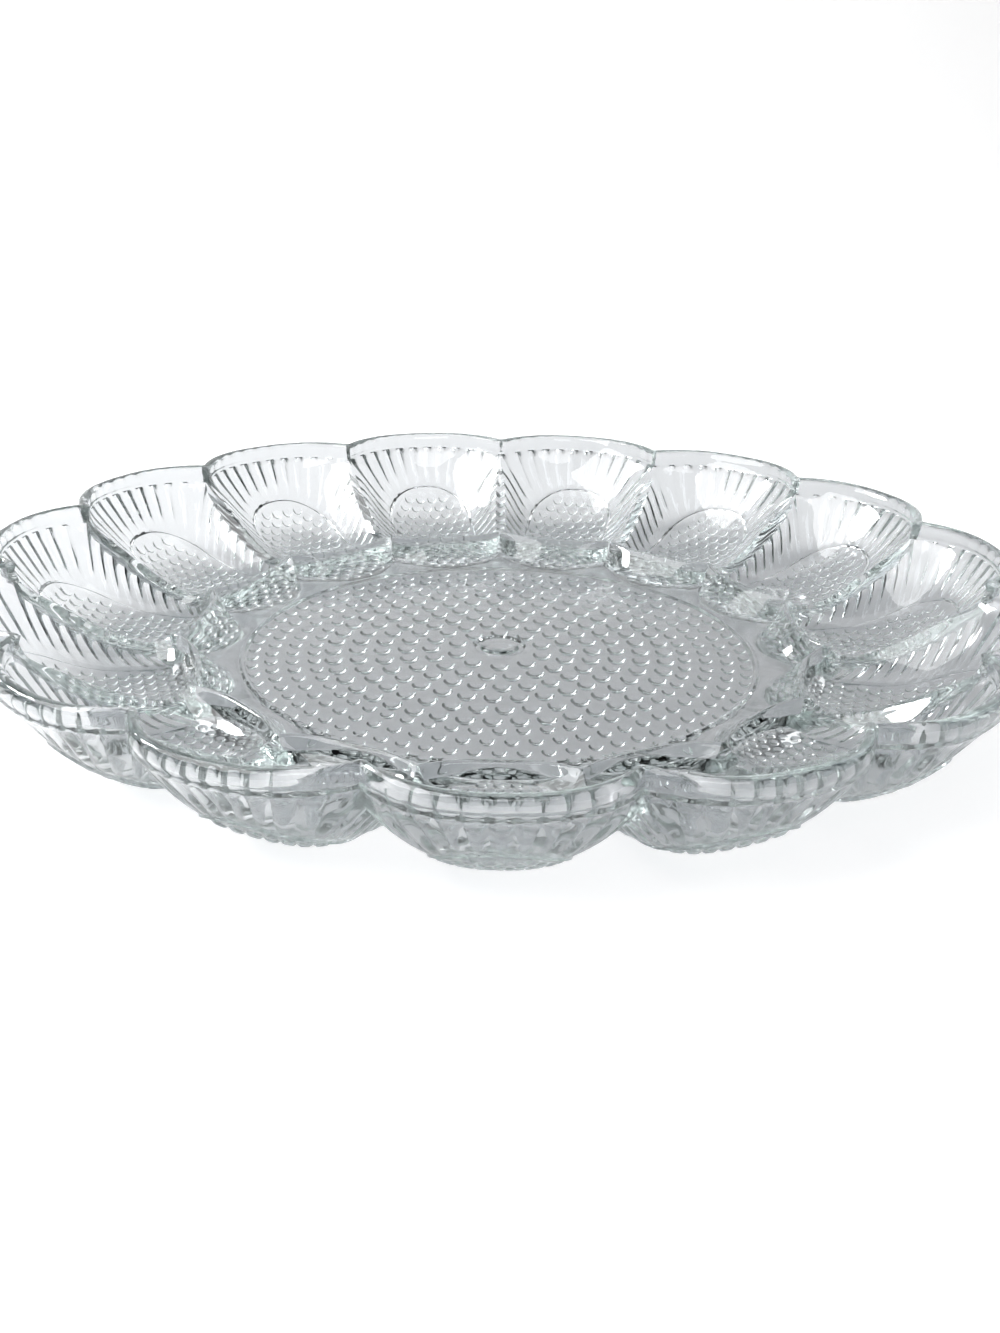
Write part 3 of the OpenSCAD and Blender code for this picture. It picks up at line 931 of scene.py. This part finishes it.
def make_glass(name, tint, density, shadow):
    """Clear glass with a surface tint, an absorption inside and a tint for its shadow."""
    material = bpy.data.materials.new(name)
    material.use_nodes = True
    tree = material.node_tree
    tree.nodes.clear()
    link = tree.links.new
    out = node(tree, "ShaderNodeOutputMaterial")
    glass = node(tree, "ShaderNodeBsdfPrincipled")
    glass.inputs["Base Color"].default_value = (*tint, 1)
    glass.inputs["Roughness"].default_value = 0.0
    glass.inputs["IOR"].default_value = SODA_IOR
    glass.inputs["Transmission Weight"].default_value = 1.0
    mark = node(tree, "ShaderNodeAttribute", attribute_name=SEAM)
    link(maths(tree, "SUBTRACT", 1.0, mark.outputs["Fac"]), glass.inputs["Alpha"])
    place = node(tree, "ShaderNodeTexCoord")
    waves = node(tree, "ShaderNodeTexNoise")
    waves.inputs["Scale"].default_value = WAVES_SCALE
    waves.inputs["Detail"].default_value = WAVES_DETAIL
    link(place.outputs["Object"], waves.inputs["Vector"])
    bump = node(tree, "ShaderNodeBump")
    bump.inputs["Strength"].default_value = WAVES_STRENGTH
    bump.inputs["Distance"].default_value = WAVES_HEIGHT
    link(waves.outputs["Fac"], bump.inputs["Height"])
    link(bump.outputs[0], glass.inputs["Normal"])
    light_through = node(tree, "ShaderNodeBsdfTransparent")
    light_through.inputs["Color"].default_value = (*shadow, 1)
    rays = node(tree, "ShaderNodeLightPath")
    mix = node(tree, "ShaderNodeMixShader")
    link(rays.outputs["Is Shadow Ray"], mix.inputs[0])
    link(glass.outputs[0], mix.inputs[1])
    link(light_through.outputs[0], mix.inputs[2])
    link(mix.outputs[0], out.inputs["Surface"])
    inside = node(tree, "ShaderNodeVolumeAbsorption")
    inside.inputs["Color"].default_value = SODA_GREEN
    inside.inputs["Density"].default_value = density
    link(inside.outputs[0], out.inputs["Volume"])
    return material


glass = make_glass("pressed_glass", tint=(0.75, 0.765, 0.785), density=6, shadow=(0.93, 0.935, 0.945))
print("material", glass.name, "with", len(glass.node_tree.nodes), "nodes")

# %% [markdown]
# Fifteen equal cups stand round the tray. A small tree turns the one cup mesh about the axis,
# so each cup is a piece of its own, at the place of its CAD solid.

# %% Cups round the tray
def make_turn_tree():
    """The tree that turns a cup about the platter's axis, and its inputs' identifiers."""
    tree = bpy.data.node_groups.new("turned_cup", "GeometryNodeTree")
    ids = sockets(tree, [
        ("Cup", "NodeSocketGeometry", "INPUT"), ("Turn", "NodeSocketFloat", "INPUT"),
        ("Material", "NodeSocketMaterial", "INPUT"), ("Turned", "NodeSocketGeometry", "OUTPUT"),
    ])
    link = tree.links.new
    come, go = node(tree, "NodeGroupInput"), node(tree, "NodeGroupOutput")
    angle = node(tree, "ShaderNodeCombineXYZ")
    link(come.outputs["Turn"], angle.inputs[2])
    turned = node(tree, "GeometryNodeTransform")
    link(come.outputs["Cup"], turned.inputs["Geometry"])
    link(angle.outputs[0], turned.inputs["Rotation"])
    real = node(tree, "GeometryNodeRealizeInstances")
    link(turned.outputs[0], real.inputs[0])
    finish = node(tree, "GeometryNodeSetMaterial")
    link(real.outputs[0], finish.inputs["Geometry"])
    link(come.outputs["Material"], finish.inputs["Material"])
    link(finish.outputs[0], go.inputs[0])
    return tree, ids


turn_tree, turn_ids = make_turn_tree()


def show(name, mesh, nodes):
    """Puts a finished mesh in the scene as a piece that stands for some CAD solids."""
    piece = bpy.data.objects.new(name, mesh)
    bpy.context.scene.collection.objects.link(piece)
    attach(piece, "root")
    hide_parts(*nodes)
    return piece


for number in range(CUPS):
    source = bpy.data.objects.new("cup_source", cup)
    bpy.context.scene.collection.objects.link(source)
    rule = source.modifiers.new("turn", "NODES")
    rule.node_group = turn_tree
    rule[turn_ids["Turn"]] = number * CUP_STEP
    rule[turn_ids["Material"]] = glass
    name = "egg_cup_%02d" % (number + 1)
    mesh = evaluated_mesh(source)
    mesh.name = name + "_glass"
    show(name + "_glass", mesh, [name])
tray.materials.append(glass)
show("hobnail_tray_glass", tray, ["tray_floor", "tray_ring", "centre_button"])

# %% [markdown]
# The platter lies on a white sweep: a floor that curves up into a wall, so no horizon shows
# through the glass. A curve of a few points, drawn out sideways, is enough for it. The photograph
# has a pure white ground, so the paper shines a little, but only to the camera. The glass sees
# plain paper and keeps its greys.

# %% Paper sweep
SWEEP_FRONT, SWEEP_BEND, SWEEP_BEND_R, SWEEP_TOP = -2.5, 0.9, 0.9, 3.0
SWEEP_BACK = SWEEP_BEND + SWEEP_BEND_R
SWEEP_HALF_WIDTH = 3.0
FIRST_BEND, BEND_STEPS = 0.1, 12
PAPER_WHITE, PAPER_ROUGHNESS, PAPER_LIFT = 0.9, 0.9, 0.4


def make_sweep():
    """The floor and wall in one, with its paper."""
    profile = [(SWEEP_FRONT, 0), (SWEEP_BEND, 0)]
    for a in np.linspace(FIRST_BEND, math.pi / 2, BEND_STEPS):
        profile.append((SWEEP_BEND + SWEEP_BEND_R * math.sin(a), SWEEP_BEND_R - SWEEP_BEND_R * math.cos(a)))
    profile.append((SWEEP_BACK, SWEEP_TOP))
    verts = [(x, y, z) for y, z in profile for x in (-SWEEP_HALF_WIDTH, SWEEP_HALF_WIDTH)]
    faces = [(2 * i, 2 * i + 1, 2 * i + 3, 2 * i + 2) for i in range(len(profile) - 1)]
    mesh = bpy.data.meshes.new("sweep")
    mesh.from_pydata(verts, [], faces)
    for p in mesh.polygons:
        p.use_smooth = True
    made = bpy.data.objects.new("sweep", mesh)
    bpy.context.scene.collection.objects.link(made)
    paper = bpy.data.materials.new("white_paper")
    paper.use_nodes = True
    look = paper.node_tree.nodes["Principled BSDF"]
    look.inputs["Base Color"].default_value = (PAPER_WHITE, PAPER_WHITE, PAPER_WHITE, 1)
    look.inputs["Roughness"].default_value = PAPER_ROUGHNESS
    rays = node(paper.node_tree, "ShaderNodeLightPath")
    lift = maths(paper.node_tree, "MULTIPLY", rays.outputs["Is Camera Ray"], PAPER_LIFT)
    paper.node_tree.links.new(lift, look.inputs["Emission Strength"])
    look.inputs["Emission Color"].default_value = (1, 1, 1, 1)
    mesh.materials.append(paper)
    return made


sweep = make_sweep()
print("sweep of", len(sweep.data.polygons), "faces")

# %% [markdown]
# A small bright window stands on the left, a little behind, and gives the sharp glints. A wide
# panel on the left, a little in front, gives each hob a soft white dot. Two weak panels fill the
# front and the back.

# %% Lights
def area_light(name, azimuth, elevation, distance, size, power):
    """A panel that faces the platter. Azimuth 0 is behind the platter and 90 is on its right."""
    turn, rise = math.radians(azimuth), math.radians(elevation)
    data = bpy.data.lights.new(name, "AREA")
    data.shape = "RECTANGLE"
    data.size, data.size_y = size
    data.energy = power
    made = bpy.data.objects.new(name, data)
    level = math.cos(rise)
    place = Vector((math.sin(turn) * level, math.cos(turn) * level, math.sin(rise))) * distance
    made.location = place
    made.rotation_euler = (-place).to_track_quat("-Z", "Y").to_euler()
    bpy.context.scene.collection.objects.link(made)
    return made


area_light("window", azimuth=-67, elevation=34, distance=1.5, size=(0.36, 0.36), power=13)
area_light("panel_left", azimuth=-101, elevation=51, distance=1.5, size=(1.6, 1.1), power=25)
area_light("panel_front", azimuth=172, elevation=50, distance=1.8, size=(1.0, 0.4), power=3.5)
area_light("panel_back", azimuth=0, elevation=66, distance=1.5, size=(1.6, 0.5), power=3.5)

# %% [markdown]
# Glass shows its shape only where it bends something darker into view, so the room is dim on the
# left, nearly dark on the right and darker near the floor. The photograph's camera sees only the
# sweep. From other sides the camera can see past it, and there the room looks light.

# %% Room
ROOM_TINT = (0.96, 0.97, 1.0, 1)
SEEN_ROOM = 0.85
# Where its light starts and stops changing. -1 is left and 1 is right, 0 is level and 1 is up.
SIDE_FROM, SIDE_TO = -0.75, 0.6
HEIGHT_FROM, HEIGHT_TO = 0.05, 0.45


def make_room(left, right, near_floor):
    """A world with a strength on its left, one on its right and a share of both near the floor."""
    world = bpy.data.worlds.new("room")
    bpy.context.scene.world = world
    world.use_nodes = True
    tree = world.node_tree
    place = node(tree, "ShaderNodeTexCoord")
    parts = node(tree, "ShaderNodeSeparateXYZ")
    tree.links.new(place.outputs["Generated"], parts.inputs[0])
    side = node(tree, "ShaderNodeMapRange", interpolation_type="SMOOTHSTEP")
    across = {"From Min": SIDE_FROM, "From Max": SIDE_TO, "To Min": left, "To Max": right}
    for name, value in across.items():
        side.inputs[name].default_value = value
    tree.links.new(parts.outputs[0], side.inputs["Value"])
    height = node(tree, "ShaderNodeMapRange", interpolation_type="SMOOTHSTEP")
    rise = {"From Min": HEIGHT_FROM, "From Max": HEIGHT_TO, "To Min": near_floor, "To Max": 1}
    for name, value in rise.items():
        height.inputs[name].default_value = value
    tree.links.new(parts.outputs[2], height.inputs["Value"])
    sky = tree.nodes["Background"]
    sky.inputs["Color"].default_value = ROOM_TINT
    strength = maths(tree, "MULTIPLY", side.outputs[0], height.outputs[0])
    seen = maths(tree, "MULTIPLY", node(tree, "ShaderNodeLightPath").outputs["Is Camera Ray"], SEEN_ROOM)
    tree.links.new(maths(tree, "MAXIMUM", strength, seen), sky.inputs["Strength"])
    return world


room = make_room(left=0.2, right=0.02, near_floor=0.5)
print("world", room.name)

# %% [markdown]
# Light crosses many surfaces in a hobbed platter: a cup's two faces, its neighbour's and the
# seams between. Each ray gets enough bounces for that, or the glass would turn black. Caustics
# are off, because they would speckle the paper. The plain view transform keeps the paper white.

# %% Light paths
scene = bpy.context.scene
scene.cycles.max_bounces = 24
scene.cycles.transmission_bounces = 20
scene.cycles.glossy_bounces = 8
scene.cycles.transparent_max_bounces = 32
scene.cycles.caustics_refractive = False
scene.cycles.caustics_reflective = False
scene.view_settings.view_transform = "Standard"
print("up to", scene.cycles.max_bounces, "bounces")
